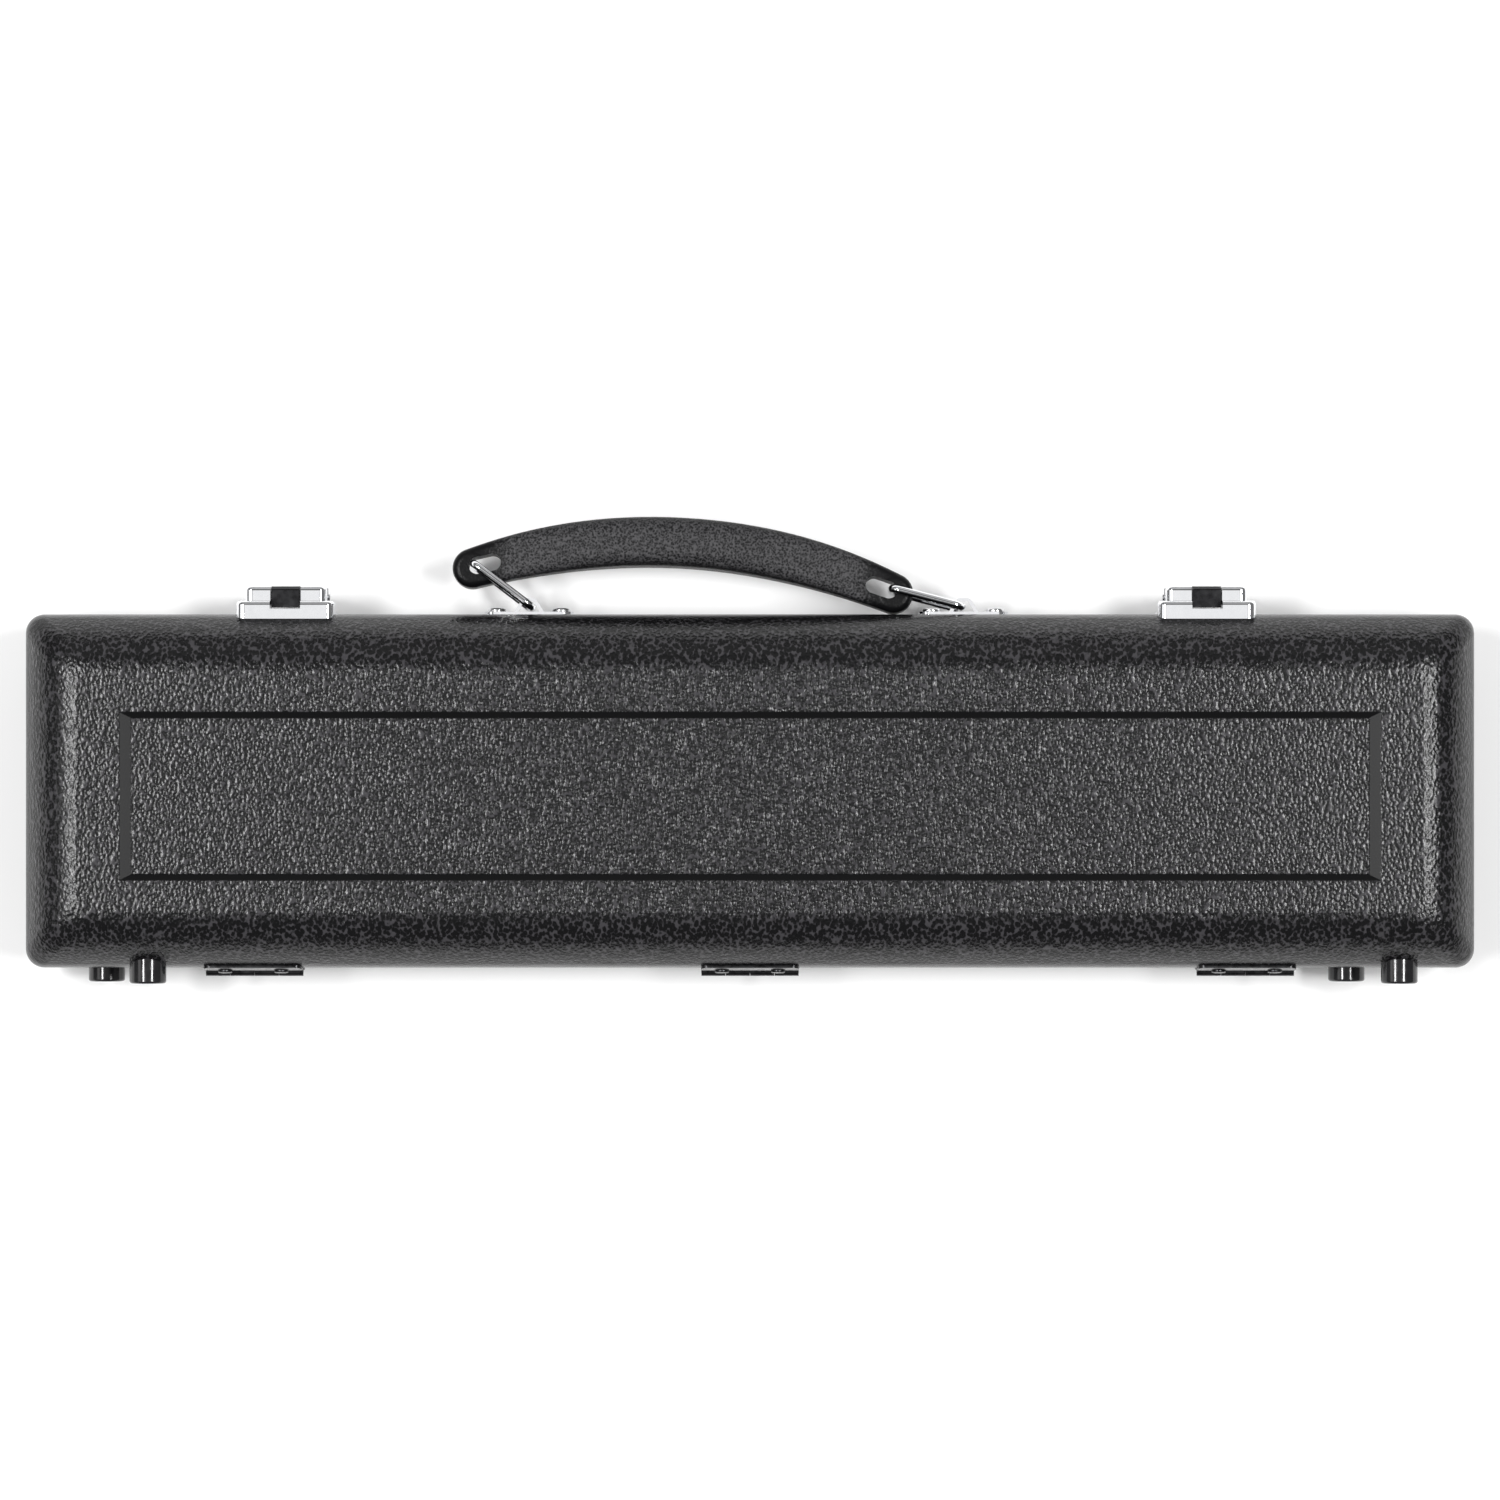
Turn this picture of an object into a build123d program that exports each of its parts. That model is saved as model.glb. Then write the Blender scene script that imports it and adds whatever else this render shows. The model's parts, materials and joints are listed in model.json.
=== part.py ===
from build123d import *
import math
import os

# Moulded hard case for a concert flute, lying flat on its base half, in millimetres.
# X runs along the case, -Y is the front with handle and latches, +Y is the hinge side.
# The origin is the middle of the bottom face, and Z = PARTING is where the halves meet.

# ---- driving dimensions ----
LENGTH = 424.0
WIDTH = 103.5
PARTING = 26.0  # depth of each half, so the closed case is twice this
RIM = 3.5  # straight part of the wall beside the parting plane
ROLL = 17.0  # how far the rounded wall comes in, in plan
CORNER = 5.5  # plan radius of the corners
WALL = 2.8
HALF_WIDTH = WIDTH / 2
DOME = PARTING - RIM
GAP = 0.05  # between two parts that touch
SHUT_GAP = 0.15  # each half's share of the gap at the parting plane

PANEL_LENGTH, PANEL_WIDTH = 365.6, 48.6
PANEL_DEPTH = 1.3
PANEL_END_SLOPE, PANEL_SIDE_SLOPE = 3.0, 1.5
PANEL_SHIFT = 1.4  # the panel sits a little nearer the hinges

FRONT_SHIFT = 1.1  # the handle and latches sit this far off the middle
LATCH_X = 134.6
RING_PLATE_X = 63.9
HINGE_X = 145.3
FOOT_NEAR, FOOT_FAR = 175.8, 189.6  # the feet of the two halves stand side by side
FOOT_RADIUS = 5.35
FOOT_S = 10.6  # from the parting plane
FOOT_DROP = 4.4

HINGE_WIDTH = 28.6
HINGE_LIFT = 1.3  # hinge axis, out from the back wall
BARREL_RADIUS = 1.25
HINGE_PIN_RADIUS = 0.6
RUNNING_GAP = 0.05

parts = {}


def add(name, *solids):
    parts[name] = solids[0] if len(solids) == 1 else Compound(children=list(solids))


# ---- the moulded wall ----
def wall_point(s, lift):
    """Point (out, s) that stands lift off the wall, at height s from the parting plane."""
    if abs(s) <= RIM:
        return (lift, s)
    turn = math.asin(min(1.0, (abs(s) - RIM) / DOME))
    out = -ROLL * (1 - math.cos(turn))
    across, along = math.cos(turn) * DOME, math.sin(turn) * ROLL
    size = math.hypot(across, along)
    side = math.copysign(1, s)
    return (out + lift * across / size, s + side * lift * along / size)


def half_solid(inset, low, high=PARTING - SHUT_GAP):
    """Base half's outer form taken in by inset, from depth low up to high."""
    rings = []
    steps = 7
    for step in range(steps + 1):
        turn = math.pi / 2 * (1 - step / steps) * 0.985
        come_in = ROLL - (ROLL - inset) * math.cos(turn)
        z = PARTING - RIM - (DOME - inset) * math.sin(turn)
        radius = max(CORNER - inset * 0.6, 1.5)
        if step == 0:
            z = low
        outline = RectangleRounded(LENGTH - 2 * come_in, WIDTH - 2 * come_in, radius)
        rings.append(Pos(0, 0, z) * outline)
    dome = loft(rings)
    top = RectangleRounded(LENGTH - 2 * inset, WIDTH - 2 * inset, max(CORNER - inset * 0.6, 1.5))
    band = extrude(Pos(0, 0, PARTING - RIM) * top, high - (PARTING - RIM))
    return dome + band


def panel_outline(slopes, z):
    """Outline of the sunken panel, taken in by a number of slope widths."""
    return Pos(0, PANEL_SHIFT, z) * Rectangle(
        PANEL_LENGTH - 2 * slopes * PANEL_END_SLOPE, PANEL_WIDTH - 2 * slopes * PANEL_SIDE_SLOPE)


def panel_recess():
    return loft([panel_outline(0, 0), panel_outline(1, PANEL_DEPTH)])


def panel_groove():
    """The base's panel stays level with its border, so only the sloped edge is sunk."""
    return panel_recess() - loft([panel_outline(2, 0), panel_outline(1, PANEL_DEPTH)])


def turned_over(shape):
    """The lid is the base's moulding turned half way round about the parting line."""
    return Pos(0, 0, 2 * PARTING) * Rot(0, 180, 0) * shape


def side_plane(side):
    """Sketch plane across the front (-1) or back (+1) wall: x is outwards, y is s."""
    return Plane(origin=(0, side * HALF_WIDTH, PARTING), x_dir=(0, side, 0), z_dir=(side, 0, 0))


def on_side(side, sketch, width, x=0.0):
    return Pos(x, 0, 0) * extrude(side_plane(side) * sketch, width / 2, both=True)


def wall_strip(side, x, width, s_low, s_high, low, high, corner=0.0):
    """Plate that follows the wall between two heights and two lifts, corners rounded."""
    steps = 6
    stations = [s_low + (s_high - s_low) * i / steps for i in range(steps + 1)]
    inner = [wall_point(s, low) for s in stations]
    outer = [wall_point(s, high) for s in reversed(stations)]
    sketch = make_face(Polyline(*inner, *outer, close=True))
    plate = on_side(side, sketch, width, x)
    if corner:
        ends = (inner[0][1], inner[-1][1])
        tall, middle = abs(ends[1] - ends[0]) + 0.2, sum(ends) / 2
        plate = plate & face_prism(side, x, middle, width, tall, corner)
    return plate


def face_prism(side, x, s, width, tall, corner):
    """Rounded prism along Y, used to trim a plate's outline as seen from outside."""
    plane = Plane(origin=(x, side * HALF_WIDTH, PARTING + s), x_dir=(1, 0, 0), z_dir=(0, side, 0))
    return extrude(plane * RectangleRounded(width, tall, corner), 30, both=True)


def cross_pin(side, x, s, out, radius, length):
    """Round bar along X."""
    plane = Plane(origin=(x, side * (HALF_WIDTH + out), PARTING + s), z_dir=(1, 0, 0))
    return extrude(plane * Circle(radius), length / 2, both=True)


def wall_frame(side, x, s):
    """Plane on the wall at height s, with its normal out of the wall."""
    out, up = wall_point(s, 0)
    far_out, far_up = wall_point(s, 1)
    return Plane(
        origin=(x, side * (HALF_WIDTH + out), PARTING + up),
        x_dir=(1, 0, 0),
        z_dir=(0, side * (far_out - out), far_up - up),
    )


RIVET_SHANK = 1.3
RIVET_TAIL = 0.9  # how far the clenched end stands inside the wall


def rivet(side, x, s, head_radius, head_height, lift):
    """Tubular rivet through the wall, its head resting lift above the wall."""
    frame = wall_frame(side, x, s)
    foot = -WALL - RIVET_TAIL
    shank = extrude(Plane(frame.origin + frame.z_dir * foot, frame.x_dir, frame.z_dir)
                    * Circle(RIVET_SHANK), lift - foot)
    head_plane = Plane(frame.origin + frame.z_dir * lift, frame.x_dir, frame.z_dir)
    head = extrude(head_plane * Circle(head_radius), head_height)
    head = fillet(head.edges().sort_by(Axis(frame.origin, frame.z_dir))[-1:], head_height * 0.6)
    tail = extrude(Plane(frame.origin + frame.z_dir * foot, frame.x_dir, frame.z_dir)
                   * Circle(RIVET_SHANK + 1.0), RIVET_TAIL - 0.35)
    return head + shank + tail


def rivet_hole(side, x, s, lift=3.0):
    frame = wall_frame(side, x, s)
    deep = WALL + 4.0
    start = Plane(frame.origin - frame.z_dir * deep, frame.x_dir, frame.z_dir)
    return extrude(start * Circle(RIVET_SHANK + GAP), deep + lift)


# ---- feet ----
def foot(x, s):
    """Smooth round glide that stands out of the back wall, with a plug through the wall."""
    plane = Plane(origin=(x, HALF_WIDTH - 9.0, PARTING + s), x_dir=(1, 0, 0), z_dir=(0, 1, 0))
    post = extrude(plane * Circle(FOOT_RADIUS), 9.0 + FOOT_DROP)
    return fillet(post.edges().sort_by(Axis.Y)[-1:], 0.7)


def foot_bore(x, s):
    plane = Plane(origin=(x, HALF_WIDTH - 20.0, PARTING + s), x_dir=(1, 0, 0), z_dir=(0, 1, 0))
    return extrude(plane * Circle(2.0), 40.0)


def make_feet(shell_form, xs, s):
    """Feet seated on the wall, each with a thin plug that fills its hole in the shell."""
    feet = []
    for x in xs:
        seated = foot(x, s) - shell_form
        plane = Plane(origin=(x, HALF_WIDTH - 4.6, PARTING + s), x_dir=(1, 0, 0), z_dir=(0, 1, 0))
        plug = extrude(plane * Circle(2.0 - GAP), 6.0)
        feet.append(seated.solids().sort_by(Axis.Y)[-1] + plug)
    return feet


# ---- shells ----
HINGES = [-HINGE_X, 0.0, HINGE_X]
LATCHES = [FRONT_SHIFT - LATCH_X, FRONT_SHIFT + LATCH_X]
RING_PLATES = [FRONT_SHIFT - RING_PLATE_X, FRONT_SHIFT + RING_PLATE_X]
HINGE_RIVET_X = 8.2
HINGE_RIVET_S = 6.4
LATCH_RIVET_X, LATCH_RIVET_S = 5.6, 9.2
CATCH_RIVET_S = 4.35
RING_RIVET_X = 9.45
RING_S = -6.5

base_form = half_solid(0.0, 0.0)
hollow = half_solid(WALL, WALL, PARTING + 5)
TONGUE = 1.1
TONGUE_TALL = 1.9
TONGUE_GAP = 0.35
SEAT = WALL + TONGUE_GAP
# A thin lip stands up all round the base's rim and locates the lid.
tongue_outline = RectangleRounded(LENGTH - 2 * SEAT, WIDTH - 2 * SEAT, 3.2)
tongue_inner = RectangleRounded(LENGTH - 2 * (SEAT + TONGUE), WIDTH - 2 * (SEAT + TONGUE), 2.2)
lip_root = 3.0
tongue = extrude(Pos(0, 0, PARTING - lip_root) * (tongue_outline - tongue_inner),
                 lip_root + TONGUE_TALL)
bridge = extrude(Pos(0, 0, PARTING - lip_root) * (
    RectangleRounded(LENGTH - 2 * WALL + 0.4, WIDTH - 2 * WALL + 0.4, 3.6) - tongue_inner), 1.4)

lid_shell = turned_over(base_form - hollow - panel_recess())
base_shell = base_form - hollow - panel_groove() + tongue + bridge
lid_form = turned_over(base_form)

base_holes, lid_holes = [], []
for x in HINGES:
    for dx in (-HINGE_RIVET_X, HINGE_RIVET_X):
        base_holes.append(rivet_hole(1, x + dx, -HINGE_RIVET_S))
        lid_holes.append(rivet_hole(1, x + dx, HINGE_RIVET_S))
for x in LATCHES:
    for dx in (-LATCH_RIVET_X, LATCH_RIVET_X):
        base_holes.append(rivet_hole(-1, x + dx, -LATCH_RIVET_S))
    lid_holes.append(rivet_hole(-1, x, CATCH_RIVET_S))
for x in RING_PLATES:
    for dx in (-RING_RIVET_X, RING_RIVET_X):
        base_holes.append(rivet_hole(-1, x + dx, RING_S))
base_feet_x = (-FOOT_NEAR, FOOT_FAR)
lid_feet_x = (FOOT_NEAR, -FOOT_FAR)
base_holes += [foot_bore(x, -FOOT_S) & Pos(0, 60, 0) * Box(500, 100, 200) for x in base_feet_x]
lid_holes += [foot_bore(x, FOOT_S) & Pos(0, 60, 0) * Box(500, 100, 200) for x in lid_feet_x]
add("base_shell", base_shell - base_holes)
add("lid_shell", lid_shell - lid_holes)
add("base_feet", *make_feet(base_form, base_feet_x, -FOOT_S))
add("lid_feet", *make_feet(lid_form, lid_feet_x, FOOT_S))


# ---- hinges ----
KNUCKLES = 4
KNUCKLE = HINGE_WIDTH / KNUCKLES
LEAF = 0.8
LEAF_REACH = 11.0
KNUCKLE_GAP = 0.12


def hinge_leaf(x, up):
    """Leaf that follows the back wall, with every second knuckle; up is +1 on the lid."""
    plate = wall_strip(1, x, HINGE_WIDTH, up * (BARREL_RADIUS + 0.25), up * LEAF_REACH,
                       GAP, GAP + LEAF, 2.0)
    knuckles = []
    for n in range(KNUCKLES):
        if (n % 2 == 0) != (up < 0):
            continue
        middle = x - HINGE_WIDTH / 2 + (n + 0.5) * KNUCKLE
        barrel = cross_pin(1, middle, 0, HINGE_LIFT, BARREL_RADIUS, KNUCKLE - KNUCKLE_GAP)
        web = on_side(1, make_face(Polyline(
            (GAP, up * 1.6), (GAP + LEAF, up * 2.6), (HINGE_LIFT, up * 1.2),
            (HINGE_LIFT, 0), (GAP + 0.3, up * 0.7), close=True)),
            KNUCKLE - KNUCKLE_GAP, middle)
        knuckles.append(barrel + web)
    leaf = plate
    for knuckle in knuckles:
        leaf = leaf + knuckle
    bore = cross_pin(1, x, 0, HINGE_LIFT, HINGE_PIN_RADIUS + RUNNING_GAP, HINGE_WIDTH + 1)
    leaf = leaf - bore
    # each leaf is cut back round the other leaf's knuckles
    for n in range(KNUCKLES):
        if (n % 2 == 0) == (up < 0):
            continue
        middle = x - HINGE_WIDTH / 2 + (n + 0.5) * KNUCKLE
        leaf = leaf - cross_pin(1, middle, 0, HINGE_LIFT, BARREL_RADIUS + 0.3, KNUCKLE)
    for dx in (-HINGE_RIVET_X, HINGE_RIVET_X):
        leaf = leaf - rivet_hole(1, x + dx, up * HINGE_RIVET_S)
    return leaf


for word, x in zip(("right", "middle", "left"), HINGES):
    add(f"hinge_{word}_base_leaf", hinge_leaf(x, -1))
    add(f"hinge_{word}_lid_leaf", hinge_leaf(x, 1))
    add(f"hinge_{word}_pin", cross_pin(1, x, 0, HINGE_LIFT, HINGE_PIN_RADIUS, HINGE_WIDTH))
for word, up in (("base", -1), ("lid", 1)):
    add(f"hinge_rivets_{word}", *[
        rivet(1, x + dx, up * HINGE_RIVET_S, 2.1, 0.7, GAP * 2 + LEAF)
        for x in HINGES for dx in (-HINGE_RIVET_X, HINGE_RIVET_X)])


# ---- draw latches ----
CATCH_WIDTH, CATCH_LOW, CATCH_HIGH = 28.7, 1.2, 12.5
LOW_TIER, HIGH_TIER = 3.8, 8.2
LOBE_WIDTH, LOBE_HIGH = 23.8, 9.5
CHANNEL = 8.9
PLATE = 0.9
LEVER_AXIS_OUT, LEVER_AXIS_S = 5.0, -3.0
CLAW_AXIS_OUT, CLAW_AXIS_S = 4.2, -8.5
CLAW_WIDTH = 8.3


def block(x, width, s_low, s_high, out_low, out_high):
    middle = (x, -(HALF_WIDTH + (out_low + out_high) / 2), PARTING + (s_low + s_high) / 2)
    return Pos(*middle) * Box(width, out_high - out_low, s_high - s_low)


def catch(x):
    """Two-tier pressed keeper on the lid, with a channel for the claw and a low ridge in it."""
    low = block(x, CATCH_WIDTH, CATCH_LOW, CATCH_HIGH, -2.5, LOW_TIER)
    low = fillet(low.edges().filter_by(Axis.Y), 2.6)
    low = fillet(low.faces().sort_by(Axis.Y)[0].edges(), 1.2)
    high = block(x, LOBE_WIDTH, CATCH_LOW, LOBE_HIGH, LOW_TIER - 1.2, HIGH_TIER)
    high = fillet(high.edges().filter_by(Axis.Y), 2.2)
    high = fillet(high.faces().sort_by(Axis.Y)[0].edges(), 1.3)
    body = low + high - block(x, CHANNEL, -5, 20, PLATE + GAP, 20)
    ridge = block(x, CHANNEL + 0.4, 6.4, 7.4, PLATE - 0.3, PLATE + 0.7)
    body = body + ridge
    wall = on_side(-1, make_face(Polyline(
        *[wall_point(s, GAP) for s in (0.5, 3.5, 6, 8.5, 11, 14)], (-6, 14), (-6, 0.5),
        close=True)), CATCH_WIDTH + 2, x)
    return body - wall - rivet_hole(-1, x, CATCH_RIVET_S)


def latch_plate(x):
    """Base plate under the lever, with two ears that carry the lever's pivots."""
    plate = wall_strip(-1, x, CATCH_WIDTH, -1.2, -13.5, GAP, GAP + PLATE, 2.4)
    for side in (-1, 1):
        ear = on_side(-1, make_face(Polyline(
            (0.5, -6.6), (0.5, -2.4), (2.9, -2.4), (3.6, -1.8), (4.6, -1.45), (6.3, -2.2),
            (6.3, -3.8), (4.6, -5.1), close=True)), 0.9, x + side * 10.2)
        plate = plate + ear
    plate = plate - cross_pin(-1, x, LEVER_AXIS_S, LEVER_AXIS_OUT, 1.0, CATCH_WIDTH)
    for dx in (-LATCH_RIVET_X, LATCH_RIVET_X):
        plate = plate - rivet_hole(-1, x + dx, -LATCH_RIVET_S)
    return plate


def lever(x):
    """Pressed cover with side skirts, open underneath and slotted at its top for the claw."""
    profile = [(4.2, -14.0), (3.0, -10.5), (3.0, -4.4), (4.0, -1.4), (6.4, -0.7),
               (7.7, -1.0), (HIGH_TIER, -2.2), (7.2, -9.5), (6.2, -13.4), (6.9, -15.4),
               (6.1, -15.8), (5.0, -13.9)]
    outer = on_side(-1, make_face(Polyline(*profile, close=True)), LOBE_WIDTH, x)
    outer = fillet(outer.edges().filter_by(Axis.X).filter_by(
        lambda e: e.center().Y < -(HALF_WIDTH + 7.5)), 0.5)
    hollow = on_side(-1, make_face(Polyline(
        (2, -13.2), (2, -4), (3, 0), (6.4, 0), (7.3, -2.3), (6.3, -9.3), (5.3, -13.2),
        close=True)), LOBE_WIDTH - 1.8, x)
    slot = block(x, CLAW_WIDTH + 0.8, -11.8, 1, 3, 10)
    body = outer - hollow - slot
    for axis_s, axis_out, radius in ((LEVER_AXIS_S, LEVER_AXIS_OUT, 1.0),
                                     (CLAW_AXIS_S, CLAW_AXIS_OUT, 0.8)):
        body = body - cross_pin(-1, x, axis_s, axis_out, radius, CATCH_WIDTH)
    return body


def lever_pins(x):
    """Two short pivots, one through each ear and skirt, so that the claw passes between."""
    inner, outer = 9.4, 12.3
    return [cross_pin(-1, x + side * (inner + outer) / 2, LEVER_AXIS_S, LEVER_AXIS_OUT,
                      1.0 - RUNNING_GAP, outer - inner) for side in (-1, 1)]


def claw(x):
    """Dark spring-steel claw: hangs on its pin in the lever and hooks past the keeper's ridge."""
    upper = [(4.6, -9.6), (5.8, -6.0), (7.2, -2.4), (HIGH_TIER - 0.1, 0.8),
             (HIGH_TIER - 0.1, 8.2), (7.2, 9.6), (1.95, 9.6)]
    lower = [(1.95, 8.2), (6.4, 8.2), (6.7, 7.6), (6.7, 1.2), (6.2, -1.6), (4.4, -6.2),
             (3.3, -7.3), (2.8, -8.5), (3.2, -9.6)]
    body = on_side(-1, make_face(Polyline(*upper, *lower, close=True)), CLAW_WIDTH, x)
    body = fillet(body.edges().filter_by(Axis.X).filter_by(
        lambda e: e.center().Z > PARTING + 7.9 and e.center().Y < -(HALF_WIDTH + 6.0)), 0.5)
    return body - cross_pin(-1, x, CLAW_AXIS_S, CLAW_AXIS_OUT, 0.8 + RUNNING_GAP, CATCH_WIDTH)


for word, x in zip(("right", "left"), LATCHES):
    add(f"latch_{word}_catch", catch(x))
    add(f"latch_{word}_plate", latch_plate(x))
    add(f"latch_{word}_lever", lever(x))
    add(f"latch_{word}_lever_pivots", *lever_pins(x))
    add(f"latch_{word}_claw", claw(x))
    add(f"latch_{word}_claw_pin", cross_pin(-1, x, CLAW_AXIS_S, CLAW_AXIS_OUT, 0.8 - GAP / 5,
                                            LOBE_WIDTH - 0.2))
add("latch_rivets_base", *[
    rivet(-1, x + dx, -LATCH_RIVET_S, 2.2, 0.6, GAP * 2 + PLATE)
    for x in LATCHES for dx in (-LATCH_RIVET_X, LATCH_RIVET_X)])
add("latch_rivets_lid", *[
    rivet(-1, x, CATCH_RIVET_S, 2.0, 0.5, GAP * 2 + PLATE + 0.05)
    for x in LATCHES])


# ---- handle, its rings and their plates ----
RING_PLATE_WIDTH, RING_PLATE_TALL = 26.3, 9.0
STRAP, STRAP_TALL = 0.9, 5.0
STRAP_TOP = 4.9
PLATE_SHEET = 0.85
RING_WIRE = 1.15
RING_OUT = 2.1  # ring's lower bar, out from the wall
RING_FOOT = 63.2  # each lower bar, drawn towards the middle of its strap
RING_REACH = 21.0  # between the ring's two bars
RING_HALF = 7.2  # from the ring's middle plane to each side bar
DROOP = 3.0  # the handle leans towards the table by this
TILT_LEFT, TILT_RIGHT = 53.1, 75.4  # each ring's lean from straight out, at rest


def ring_plate(x):
    """Plate with two rivet holes and a raised strap that the ring's lower bar passes under."""
    low, high = RING_S - RING_PLATE_TALL / 2, RING_S + RING_PLATE_TALL / 2
    plate = wall_strip(-1, x, RING_PLATE_WIDTH, low, high, GAP, GAP + PLATE_SHEET, 3.6)
    plane = Plane(origin=(x, -HALF_WIDTH, PARTING + RING_S), x_dir=(1, 0, 0), z_dir=(0, 0, 1))
    outer = Polyline((-4.8, -0.3), (-1.8, -STRAP_TOP), (1.8, -STRAP_TOP), (4.8, -0.3), close=True)
    inner = Polyline((-3.8, 0.5), (-1.4, -STRAP_TOP + STRAP), (1.4, -STRAP_TOP + STRAP),
                     (3.8, 0.5), close=True)
    outer = fillet(make_face(outer).vertices().filter_by(lambda v: v.Y < -2), 1.3)
    inner = fillet(make_face(inner).vertices().filter_by(lambda v: v.Y < -2), 0.7)
    plate = plate + extrude(plane * (outer - inner), STRAP_TALL / 2, both=True)
    for dx in (-RING_RIVET_X, RING_RIVET_X):
        plate = plate - rivet_hole(-1, x + dx, RING_S)
    return plate


# The linkage is drawn flat: u runs along -X and v out of the front wall.
# Its plane passes through the rings' lower bars and leans down by DROOP.
def linkage_frame():
    lean = math.radians(DROOP)
    origin = (0, -(HALF_WIDTH + RING_OUT), PARTING + RING_S)
    return Plane(origin=origin, x_dir=(-1, 0, 0), z_dir=(0, -math.sin(lean), math.cos(lean)))


def ring_foot(word):
    return Vector(-FRONT_SHIFT + (-RING_FOOT if word == "left" else RING_FOOT), 0)


def ring_head(word):
    tilt = math.radians(TILT_LEFT if word == "left" else TILT_RIGHT)
    return ring_foot(word) + Vector(-RING_REACH * math.sin(tilt), RING_REACH * math.cos(tilt))


def ring(word):
    """Closed rectangular ring of round wire, seen edge-on in the linkage plane."""
    frame = linkage_frame()
    foot, head = ring_foot(word), ring_head(word)
    along = frame.from_local_coords(head) - frame.from_local_coords(foot)
    middle = (frame.from_local_coords(head) + frame.from_local_coords(foot)) * 0.5
    plane = Plane(origin=middle, x_dir=along, z_dir=frame.z_dir.cross(along))
    outline = RectangleRounded(RING_REACH, 2 * RING_HALF, 2.4)
    path = outline.wire()
    path = plane * path
    start = path @ 0
    section = Plane(origin=start, z_dir=path % 0) * Circle(RING_WIRE)
    return sweep(section, path=path)


HANDLE_LENGTH = 135.6
HANDLE_RISE = 11.25  # of the centre line, from nose to middle
HANDLE_DROP = 1.2  # of the noses, below the line through the two bars
GRIP_TALL, GRIP_DEEP = 14.4, 18.0
NOSE_TALL, NOSE_DEEP = 11.6, 11.0
SLOT_LENGTH, SLOT_TALL, SLOT_TURN = 9.6, 5.0, 16.0
SLOT_PLAY = 0.35  # beyond the bar, at the slot's outer end
SLOT_DROP = 0.75  # of the slot's centre line below the bar at rest
SCOOP_LENGTH = 9.0


def arch_spot(radius, turn):
    """Point on the handle's centre line and the direction outwards from it."""
    outward = Vector(math.sin(turn), math.cos(turn), 0)
    return Vector(0, HANDLE_RISE - HANDLE_DROP - radius, 0) + outward * radius, outward


def grip_section(radius, turn, share):
    """Section across the grip; it swells from the nose's size to the full size."""
    swell = math.cos(math.pi / 2 * min(1.0, abs(share) / 0.85))
    spot, outward = arch_spot(radius, turn)
    tall = NOSE_TALL + (GRIP_TALL - NOSE_TALL) * math.cos(math.pi / 2 * abs(share) ** 1.6)
    deep = NOSE_DEEP + (GRIP_DEEP - NOSE_DEEP) * swell
    plane = Plane(origin=spot, x_dir=outward, z_dir=outward.rotate(Axis.Z, -90))
    return plane * RectangleRounded(tall, deep, 2.2 + 2.6 * swell)


def handle():
    """Moulded grip: one arch that swells towards the middle, with a slot near each nose."""
    left, right = ring_head("left"), ring_head("right")
    frame = linkage_frame()
    chord = right - left
    middle = (left + right) * 0.5
    slope = math.degrees(math.atan2(chord.Y, chord.X))
    nose = NOSE_TALL / 2
    reach = HANDLE_LENGTH / 2 - nose
    radius = reach ** 2 / (2 * HANDLE_RISE) + HANDLE_RISE / 2
    half_turn = math.asin(reach / radius)
    shares = (-1.0, -0.85, -0.65, -0.4, 0.0, 0.4, 0.65, 0.85, 1.0)
    body = loft([grip_section(radius, half_turn * share, share) for share in shares])
    for side in (-1, 1):
        spot, _ = arch_spot(radius, half_turn * side)
        end = extrude(Pos(*spot) * Circle(nose), NOSE_DEEP / 2, both=True)
        body = body + fillet(end.edges().filter_by(GeomType.CIRCLE), 2.2)
    for side in (-1, 1):
        bar_x = chord.length / 2 * side
        inward = SLOT_LENGTH / 2 - RING_WIRE - SLOT_PLAY
        turn = math.radians(SLOT_TURN)
        centre_x = bar_x - side * inward * math.cos(turn)
        centre_y = inward * math.sin(turn) - SLOT_DROP
        place = Pos(centre_x, centre_y) * Rot(0, 0, -side * SLOT_TURN)
        body = body - extrude(place * SlotOverall(SLOT_LENGTH, SLOT_TALL), 20, both=True)
        for face in (-1, 1):
            # a shallow ramp leads from the grip's surface down into the slot
            plane = Plane(origin=(0, 0, 0), x_dir=(1, 0, 0), z_dir=(0, -face, 0))
            cut = extrude(plane * make_face(Polyline(
                (side * 2.0, 4.2), (-side * SCOOP_LENGTH, 9.2), (-side * SCOOP_LENGTH, 14),
                (side * 2.0, 14), close=True)), SLOT_TALL / 2 - 0.2, both=True)
            body = body - place * cut
    body = Pos(middle.X, middle.Y, 0) * Rot(0, 0, slope) * body
    return frame.location * body


for word, x in zip(("right", "left"), RING_PLATES):
    add(f"ring_{word}_plate", ring_plate(x))
add("ring_plate_rivets", *[
    rivet(-1, x + dx, RING_S, 2.7, 1.0, GAP * 2 + PLATE_SHEET)
    for x in RING_PLATES for dx in (-RING_RIVET_X, RING_RIVET_X)])
add("ring_left", ring("left"))
add("ring_right", ring("right"))
add("handle", handle())


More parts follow.
